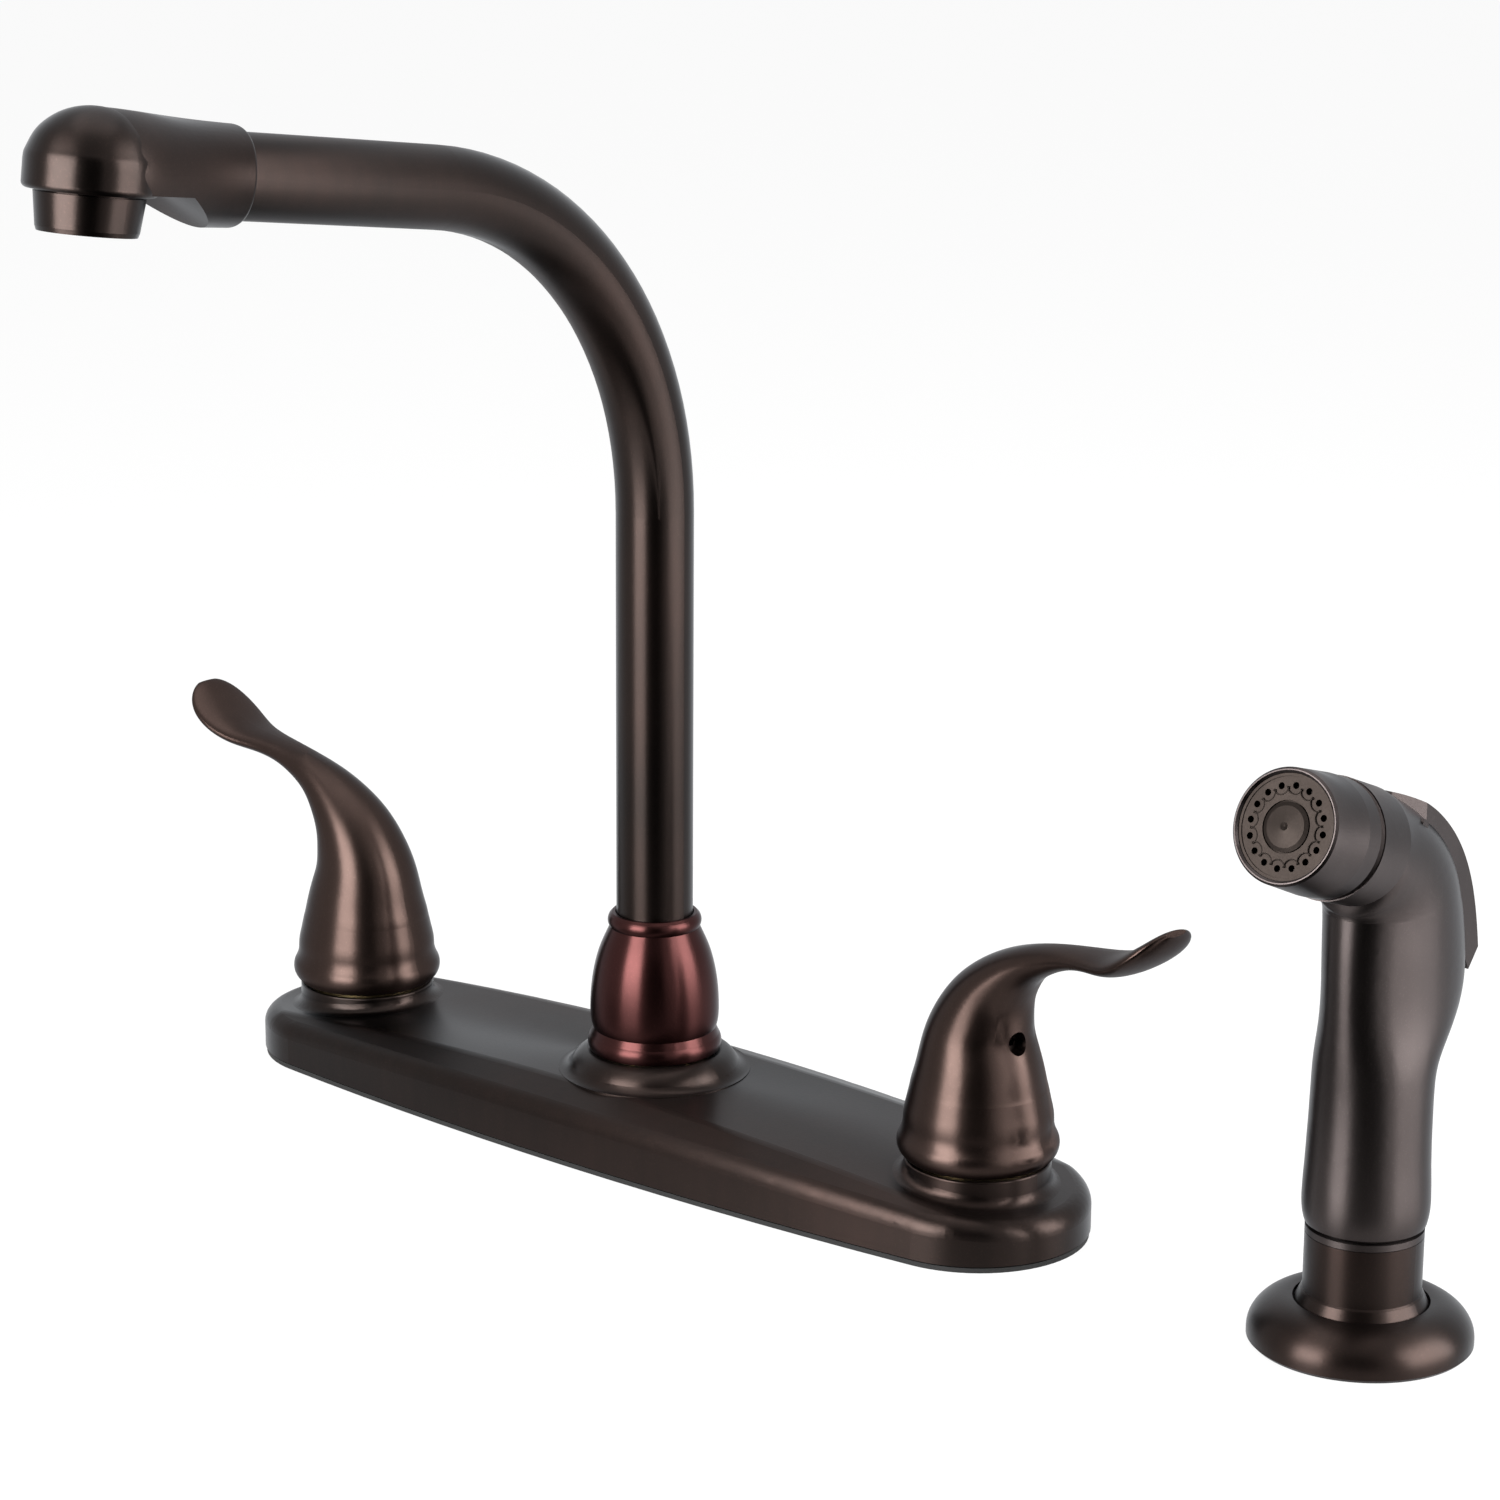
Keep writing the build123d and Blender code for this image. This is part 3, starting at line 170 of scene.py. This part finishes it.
class FaucetThreads(bpy.types.PropertyGroup):
    pitch: length("Thread Pitch", "Rise of the shank threads in one turn", 1.814)
    height: length("Thread Height", "How far a thread stands out of its shank", 0.3)
    steps: IntProperty(name="Thread Steps", description="Steps in one turn", default=32, min=8)
    coils: FloatProperty(
        name="Spring Coils", description="Turns of the valve spring", default=6.0, min=1
    )


class FaucetSprayFace(bpy.types.PropertyGroup):
    jets: IntProperty(name="Jets", description="Holes in the spray face", default=16, min=3)
    ring: length("Jet Ring", "Radius of the ring of jets", 8.9)
    scallop: length("Scallop", "Radius of the ridge beside each jet", 1.9)
    ridge: length("Ridge", "Radius of the ridge's section", 0.13)
    tilt: angle("Head Tilt", "How far the head looks up", 20)


class FaucetStage(bpy.types.PropertyGroup):
    camera: FloatVectorProperty(
        name="Camera",
        description="Where the camera stands",
        default=(0.66855, -0.76273, 0.37843),
        subtype="TRANSLATION",
        unit="LENGTH",
    )
    heading: angle("Heading", "Turn to the left of +Y", 39.91)
    pitch: angle("Pitch", "Tilt below level", 15.35)
    roll: angle("Roll", "Turn about the line of sight", 0.37)
    lens: FloatProperty(
        name="Lens", description="Focal length on a 36 mm sensor", default=102.478, min=1
    )
    floor: colour("Floor", "Pale floor and backdrop", (0.9, 0.9, 0.9))
    fill: FloatProperty(
        name="Fill", description="Light that comes from all round", default=0.7, min=0
    )


def settings():
    return bpy.context.scene.faucet_finishes


# Shader maths ------------------------------------------------------------------------------------
class Sock:
    """A shader socket that takes part in Python expressions."""

    def __init__(self, graph, socket):
        self.graph = graph
        self.socket = socket

    def math(self, operation, other, swap=False):
        first, second = (other, self) if swap else (self, other)
        inputs = {0: first, 1: second}
        return self.graph.node("ShaderNodeMath", {"operation": operation}, inputs)

    def __add__(self, other):
        return self.math("ADD", other)

    def __radd__(self, other):
        return self.math("ADD", other, swap=True)

    def __mul__(self, other):
        return self.math("MULTIPLY", other)

    def __rmul__(self, other):
        return self.math("MULTIPLY", other, swap=True)


class Graph:
    """The node tree of a material or a world."""

    def __init__(self, tree):
        self.tree = tree
        tree.nodes.clear()

    def node(self, kind, options=None, inputs=None, output=0):
        """Add a node: its settings first, then the values or links of its sockets."""
        made = self.tree.nodes.new(kind)
        for name, value in (options or {}).items():
            setattr(made, name, value)
        for name, value in (inputs or {}).items():
            if isinstance(value, Sock):
                self.tree.links.new(value.socket, made.inputs[name])
            else:
                made.inputs[name].default_value = value
        return Sock(self, made.outputs[output]) if made.outputs else None

    def noise(self, scale, detail, stretch=(1, 1, 1)):
        """Noise over the object's own coordinates, multiplied along each axis."""
        inputs = {0: self.node("ShaderNodeTexCoord", output="Object"), 1: stretch}
        where = self.node("ShaderNodeVectorMath", {"operation": "MULTIPLY"}, inputs)
        inputs = {"Vector": where, "Scale": scale, "Detail": detail}
        return self.node("ShaderNodeTexNoise", None, inputs)

    def ease(self, value, low, high):
        """Map a value between two limits to 0 to 1."""
        inputs = {"Value": value, "From Min": low, "From Max": high}
        return self.node("ShaderNodeMapRange", {"clamp": True}, inputs)

    def mix(self, share, first, second):
        """Blend two colours."""
        inputs = {0: share, 6: first, 7: second}
        return self.node("ShaderNodeMix", {"data_type": "RGBA"}, inputs, output=2)

    def bump(self, height, depth):
        inputs = {"Height": height, "Distance": depth, "Strength": 1.0}
        return self.node("ShaderNodeBump", None, inputs)

    def finish(self, **sockets):
        """The surface, with each input under its name written with underscores."""
        inputs = {name.replace("_", " "): value for name, value in sockets.items()}
        surface = self.node("ShaderNodeBsdfPrincipled", None, inputs)
        self.node("ShaderNodeOutputMaterial", None, {"Surface": surface})


def solid(shade, gain=1.0):
    return (shade[0] * gain, shade[1] * gain, shade[2] * gain, 1.0)


def start(name):
    """A new material, with its empty graph."""
    material = bpy.data.materials.new(name)
    material.use_nodes = True
    return material, Graph(material.node_tree)


# Finishes ----------------------------------------------------------------------------------------
def plated(name, deep, warm, roughness, edge=1.0):
    """Plated bronze: nearly black brown that warms in patches, with a fine satin grain."""
    made, graph = start(name)
    rim = settings().rim * edge
    streak = graph.noise(PLATING_STREAKS, detail=3.0, stretch=(1, 1, STREAK_SQUEEZE))
    streak = graph.ease(streak, low=0.3, high=0.75)
    cloud = graph.ease(graph.noise(PLATING_PATCHES, detail=4.0), low=0.35, high=0.7)
    speck = graph.ease(graph.noise(PLATING_SPECKS, detail=1.0), low=0.6, high=0.8)
    grain = graph.noise(PLATING_GRAIN, detail=2.0)
    tone = graph.mix(cloud * 0.6 + streak * 0.2, solid(deep), solid(warm))
    tone = graph.mix(speck * 0.3, tone, solid(warm, gain=1.5))
    graph.finish(
        Base_Color=tone,
        Metallic=1.0,
        Roughness=roughness + cloud * 0.04 + grain * 0.05,
        Specular_Tint=solid((rim * 0.97, rim, rim * 1.03)),
        Anisotropic=settings().brushed,
        Anisotropic_Rotation=BRUSH_TURN,
        Normal=graph.bump(grain, PLATING_DEPTH * MM),
    )
    return made


def bronze_finish():
    tones = settings()
    return plated("bronze_finish", tones.bronze, tones.bronze_warm, tones.roughness)


def lever_bronze():
    tones = settings()
    worn = solid(tones.lever, gain=1.5)
    return plated("lever_bronze", tones.lever, worn, tones.roughness, edge=0.72)


def bulb_bronze():
    tones = settings()
    worn = solid(tones.bulb, gain=1.6)
    return plated("bulb_bronze", tones.bulb, worn, tones.roughness - 0.04, edge=0.8)


def bronze_plastic():
    """Moulded plastic under a satin bronze coat, less red than the plated metal."""
    tones = settings()
    worn = solid(tones.plastic, gain=1.6)
    return plated("bronze_plastic", tones.plastic, worn, tones.roughness, edge=0.85)


def spray_face_plastic():
    """The spray face's moulded disc, with a dull metallic coat."""
    made, graph = start("spray_face_plastic")
    tones = settings()
    grain = graph.noise(FACE_GRAIN, detail=2.0)
    cloud = graph.ease(graph.noise(FACE_CLOUDS, detail=3.0), low=0.35, high=0.7)
    graph.finish(
        Base_Color=graph.mix(cloud, solid(tones.face, gain=0.85), solid(tones.face, gain=1.15)),
        Metallic=0.9,
        Roughness=0.4 + grain * 0.1,
        Specular_Tint=solid((0.5, 0.47, 0.45)),
        Normal=graph.bump(grain, FACE_DEPTH * MM),
    )
    return made


def machined(name, shade, roughness, turned):
    """Bare metal with fine tool marks along one axis."""
    made, graph = start(name)
    lines = graph.noise(TOOL_MARKS, detail=4.0, stretch=turned)
    stain = graph.ease(graph.noise(METAL_STAINS, detail=4.0), low=0.4, high=0.75)
    graph.finish(
        Base_Color=graph.mix(stain * 0.6, solid(shade), solid(shade, gain=0.6)),
        Metallic=1.0,
        Roughness=roughness + stain * 0.15 + lines * 0.08,
        Normal=graph.bump(lines, TOOL_DEPTH * MM),
    )
    return made


def moulded(name, shade, roughness, scale):
    """Plain moulded rubber or nylon with a faint texture."""
    made, graph = start(name)
    grain = graph.noise(scale, detail=3.0)
    cloud = graph.ease(graph.noise(MOULD_CLOUDS, detail=3.0), low=0.3, high=0.7)
    graph.finish(
        Base_Color=graph.mix(cloud, solid(shade, gain=0.85), solid(shade, gain=1.1)),
        Roughness=roughness + grain * 0.12,
        Specular_IOR_Level=0.2,
        Normal=graph.bump(grain, MOULD_DEPTH * MM),
    )
    return made


def finish_for(slot):
    """The material of a slot, made the first time it is asked for."""
    if slot in bpy.data.materials:
        return bpy.data.materials[slot]
    tones = settings()
    makers = {
        "bronze_finish": bronze_finish,
        "lever_bronze": lever_bronze,
        "bulb_bronze": bulb_bronze,
        "bronze_plastic": bronze_plastic,
        "spray_face_plastic": spray_face_plastic,
        "brass": lambda: machined("brass", tones.brass, roughness=0.28, turned=(1, 1, 12)),
        "copper": lambda: machined("copper", tones.copper, roughness=0.3, turned=(0.2, 6, 6)),
        "steel": lambda: machined("steel", tones.steel, roughness=0.25, turned=(1, 1, 8)),
        "rubber": lambda: moulded("rubber", tones.rubber, roughness=0.6, scale=RUBBER_GRAIN),
        "nylon": lambda: moulded("nylon", tones.nylon, roughness=0.45, scale=NYLON_GRAIN),
    }
    return makers[slot]()


class FAUCET_OT_finishes(bpy.types.Operator):
    """Give every CAD piece its finish"""

    bl_idname = "faucet.finishes"
    bl_label = "Finishes"

    def execute(self, context):
        for old in list(bpy.data.materials):
            old.name = "cad_" + old.name
        for name, piece in NODES.items():
            piece.data.materials.clear()
            piece.data.materials.append(finish_for(TONED.get(name, FINISHES[name])))
        return {"FINISHED"}


# Added pieces ------------------------------------------------------------------------------------
def keep(name, shape, body, slot):
    """Make a smooth piece of a closed bmesh, give it its finish and put it on its body."""
    bmesh.ops.remove_doubles(shape, verts=shape.verts, dist=MERGE)
    bmesh.ops.recalc_face_normals(shape, faces=shape.faces)
    mesh = bpy.data.meshes.new(name)
    shape.to_mesh(mesh)
    shape.free()
    mesh.shade_smooth()
    piece = bpy.data.objects.new(name, mesh)
    bpy.context.scene.collection.objects.link(piece)
    mesh.materials.append(finish_for(slot))
    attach(piece, body)
    return piece


def coil(shape, outline, centre, axis, rise, turns, steps):
    """Wind a closed outline about an axis, with so many steps and so much rise in each turn."""
    corners = [shape.verts.new(point) for point in outline]
    first = shape.faces.new(corners)
    bmesh.ops.spin(
        shape,
        geom=[first, *first.edges, *first.verts],
        cent=centre,
        axis=axis,
        dvec=Vector(axis) * (rise / steps),
        angle=2 * pi * turns,
        steps=round(turns * steps),
    )


def around(centre, radius, height):
    return Vector((centre[0] + radius, centre[1], centre[2] + height))


class FAUCET_OT_threads(bpy.types.Operator):
    """Wind a thread on each shank below its nut"""

    bl_idname = "faucet.threads"
    bl_label = "Threads"

    def execute(self, context):
        sizes = context.scene.faucet_threads
        for name, node, nut, radius in SHANKS:
            low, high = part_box(node)
            centre = ((low[0] + high[0]) / 2, (low[1] + high[1]) / 2, 0)
            nut_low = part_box(nut)[0][2] if nut else -SHORT_OF_DECK * MM
            root = radius * MM - sizes.height
            crest = radius * MM + sizes.height
            bottom = low[2] + sizes.pitch
            turns = (nut_low - bottom) / sizes.pitch - BARE_TURNS
            outline = [
                around(centre, root, bottom),
                around(centre, crest, bottom + sizes.pitch * THREAD_CREST),
                around(centre, root, bottom + sizes.pitch * THREAD_WIDTH),
            ]
            shape = bmesh.new()
            coil(shape, outline, centre, (0, 0, 1), sizes.pitch, turns, sizes.steps)
            keep(f"{name}_thread", shape, "root", FINISHES[node])
        return {"FINISHED"}


class FAUCET_OT_spring(bpy.types.Operator):
    """Wind the valve spring behind the trigger"""

    bl_idname = "faucet.spring"
    bl_label = "Spring"

    def execute(self, context):
        sizes = context.scene.faucet_threads
        low, high = (Vector(corner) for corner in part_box("plunger_spring"))
        wire = SPRING_WIRE * MM
        reach = (high.z - low.z) / 2 - wire
        rise = (high.y - low.y - 2 * wire) / sizes.coils
        foot = Vector(((low.x + high.x) / 2, low.y + wire, (low.z + high.z) / 2))
        spot = foot + Vector((reach, 0, 0))
        outline = [spot + Vector((wire * cos(bend), wire * sin(bend), 0)) for bend in ROUND]
        shape = bmesh.new()
        coil(shape, outline, foot, (0, 1, 0), rise, sizes.coils, sizes.steps)
        spring = keep("spring_wire", shape, "plunger", "steel")
        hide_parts("plunger_spring")
        return {"FINISHED"}


class FAUCET_OT_scallops(bpy.types.Operator):
    """Raise the ridges on the inner side of the jets"""

    bl_idname = "faucet.scallops"
    bl_label = "Scallops"

    def execute(self, context):
        sizes = context.scene.faucet_spray_face
        low, high = (Vector(corner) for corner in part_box("spray_face"))
        outward = Vector((0, -cos(sizes.tilt), sin(sizes.tilt)))
        upward = Vector((0, sin(sizes.tilt), cos(sizes.tilt)))
        sideways = Vector((1, 0, 0))
        front = (low + high) / 2 + outward * (FACE_THICK * MM / 2)
        swing = Matrix.Rotation(-SCALLOP_ARC / 2, 4, outward)
        shape = bmesh.new()
        for index in range(sizes.jets):
            turn = 2 * pi * index / sizes.jets
            spoke = sideways * cos(turn) + upward * sin(turn)
            jet = front + spoke * sizes.ring
            reach = swing @ (spoke * -sizes.scallop)
            beside = reach.normalized() * sizes.ridge
            ahead = outward * sizes.ridge
            outline = [jet + reach + beside * cos(bend) + ahead * sin(bend) for bend in ROUND]
            coil(shape, outline, jet, outward, 0, SCALLOP_ARC / (2 * pi), SCALLOP_STEPS)
        keep("face_scallops", shape, "sprayer", "spray_face_plastic")
        return {"FINISHED"}


# Stage -------------------------------------------------------------------------------------------
def lamp(name, place, aim, size, watts):
    light = bpy.data.lights.new(name, "AREA")
    light.shape = "RECTANGLE"
    light.size, light.size_y = size
    light.energy = watts
    piece = bpy.data.objects.new(name, light)
    bpy.context.scene.collection.objects.link(piece)
    piece.location = place
    piece.rotation_euler = (Vector(aim) - Vector(place)).to_track_quat("-Z", "Y").to_euler()
    piece.visible_camera = False


def seen_ray(graph):
    """1 for what the camera sees, also in reflections or through a piece, and 0 for the rest."""
    camera = graph.node("ShaderNodeLightPath", output="Is Camera Ray")
    glossy = graph.node("ShaderNodeLightPath", output="Is Glossy Ray")
    through = graph.node("ShaderNodeLightPath", output="Is Transmission Ray")
    return camera.math("MAXIMUM", glossy).math("MAXIMUM", through)


def studio_light(tree, strength):
    """White where it is seen, and a plain light on everything that it falls on."""
    graph = Graph(tree)
    white = graph.node("ShaderNodeBackground", None, {"Color": solid(WHITE), "Strength": 1.0})
    plain = graph.node("ShaderNodeBackground", None, {"Color": solid(WHITE), "Strength": strength})
    mixed = graph.node("ShaderNodeMixShader", None, {0: seen_ray(graph), 1: plain, 2: white})
    graph.node("ShaderNodeOutputWorld", None, {"Surface": mixed})


def floor_finish(shade):
    """A pale floor that gives way to white where it is seen and keeps the shadow."""
    made, graph = start("floor")
    grain = graph.ease(graph.noise(FLOOR_GRAIN, detail=2.0), low=0.2, high=0.8)
    tone = graph.mix(grain, solid(shade), solid(shade, gain=0.99))
    plain = graph.node("ShaderNodeBsdfDiffuse", None, {"Color": tone})
    white = graph.node("ShaderNodeEmission", None, {"Color": solid(WHITE), "Strength": 1.0})
    fade = seen_ray(graph) * FLOOR_WHITE
    mixed = graph.node("ShaderNodeMixShader", None, {0: fade, 1: plain, 2: white})
    graph.node("ShaderNodeOutputMaterial", None, {"Surface": mixed})
    return made


def cloth_finish():
    made, graph = start("cloth")
    weave = graph.ease(graph.noise(CLOTH_WEAVE, detail=2.0), low=0.3, high=0.7)
    dark = graph.mix(weave, solid(CLOTH_DARK), solid(CLOTH_LIGHT))
    graph.finish(Base_Color=dark, Roughness=1.0, Specular_IOR_Level=0.0)
    return made


def black_cloth():
    """Lay a black cloth in front of the object with its far end hung up, for reflections only."""
    shape = bmesh.new()
    corners = [shape.verts.new((x, y, CLOTH_LIFT)) for x, y in CLOTH]
    shape.faces.new(corners)
    top = [shape.verts.new((x, y, CLOTH_HEIGHT)) for x, y in CLOTH[1:3]]
    shape.faces.new((corners[1], corners[2], top[1], top[0]))
    mesh = bpy.data.meshes.new("cloth")
    shape.to_mesh(mesh)
    shape.free()
    cloth = bpy.data.objects.new("cloth", mesh)
    bpy.context.scene.collection.objects.link(cloth)
    mesh.materials.append(cloth_finish())
    cloth.visible_camera = False
    cloth.visible_diffuse = False
    cloth.visible_transmission = False
    cloth.visible_shadow = False


class FAUCET_OT_stage(bpy.types.Operator):
    """Lay the floor, hang the lamps and stand the camera where the photograph was taken"""

    bl_idname = "faucet.stage"
    bl_label = "Stage"

    def execute(self, context):
        stage = context.scene.faucet_stage
        scene = context.scene
        world = bpy.data.worlds.new("studio")
        scene.world = world
        world.use_nodes = True
        studio_light(world.node_tree, stage.fill)

        bpy.ops.mesh.primitive_plane_add(size=FLOOR_SIZE, location=(0, 0, 0))
        floor = context.active_object
        floor.name = "floor"
        floor.data.materials.append(floor_finish(stage.floor))
        black_cloth()
        for name, place, aim, size, watts in LAMPS:
            lamp(name, place, aim, size, watts)

        eye = bpy.data.cameras.new("camera")
        eye.lens = stage.lens
        eye.sensor_width = SENSOR
        camera = bpy.data.objects.new("camera", eye)
        scene.collection.objects.link(camera)
        heading = Matrix.Rotation(stage.heading, 4, "Z")
        pitch = Matrix.Rotation(pi / 2 - stage.pitch, 4, "X")
        roll = Matrix.Rotation(stage.roll, 4, "Z")
        camera.matrix_world = Matrix.Translation(stage.camera) @ heading @ pitch @ roll
        scene.camera = camera
        scene.view_settings.view_transform = "Standard"
        return {"FINISHED"}


class FAUCET_PT_panel(bpy.types.Panel):
    bl_label = "Faucet"
    bl_idname = "FAUCET_PT_panel"
    bl_space_type = "VIEW_3D"
    bl_region_type = "UI"
    bl_category = "Faucet"

    def draw(self, context):
        for operator in OPERATORS:
            self.layout.operator(operator.bl_idname)


OPERATORS = (
    FAUCET_OT_finishes,
    FAUCET_OT_threads,
    FAUCET_OT_spring,
    FAUCET_OT_scallops,
    FAUCET_OT_stage,
)
GROUPS = (FaucetFinishes, FaucetThreads, FaucetSprayFace, FaucetStage)


def register():
    for kind in (*GROUPS, *OPERATORS, FAUCET_PT_panel):
        bpy.utils.register_class(kind)
    bpy.types.Scene.faucet_finishes = PointerProperty(type=FaucetFinishes)
    bpy.types.Scene.faucet_threads = PointerProperty(type=FaucetThreads)
    bpy.types.Scene.faucet_spray_face = PointerProperty(type=FaucetSprayFace)
    bpy.types.Scene.faucet_stage = PointerProperty(type=FaucetStage)


def unregister():
    del bpy.types.Scene.faucet_finishes
    del bpy.types.Scene.faucet_threads
    del bpy.types.Scene.faucet_spray_face
    del bpy.types.Scene.faucet_stage
    for kind in reversed((*GROUPS, *OPERATORS, FAUCET_PT_panel)):
        bpy.utils.unregister_class(kind)


def main():
    register()
    bpy.ops.faucet.finishes()
    bpy.ops.faucet.threads()
    bpy.ops.faucet.spring()
    bpy.ops.faucet.scallops()
    bpy.ops.faucet.stage()


if __name__ == "__main__":
    main()
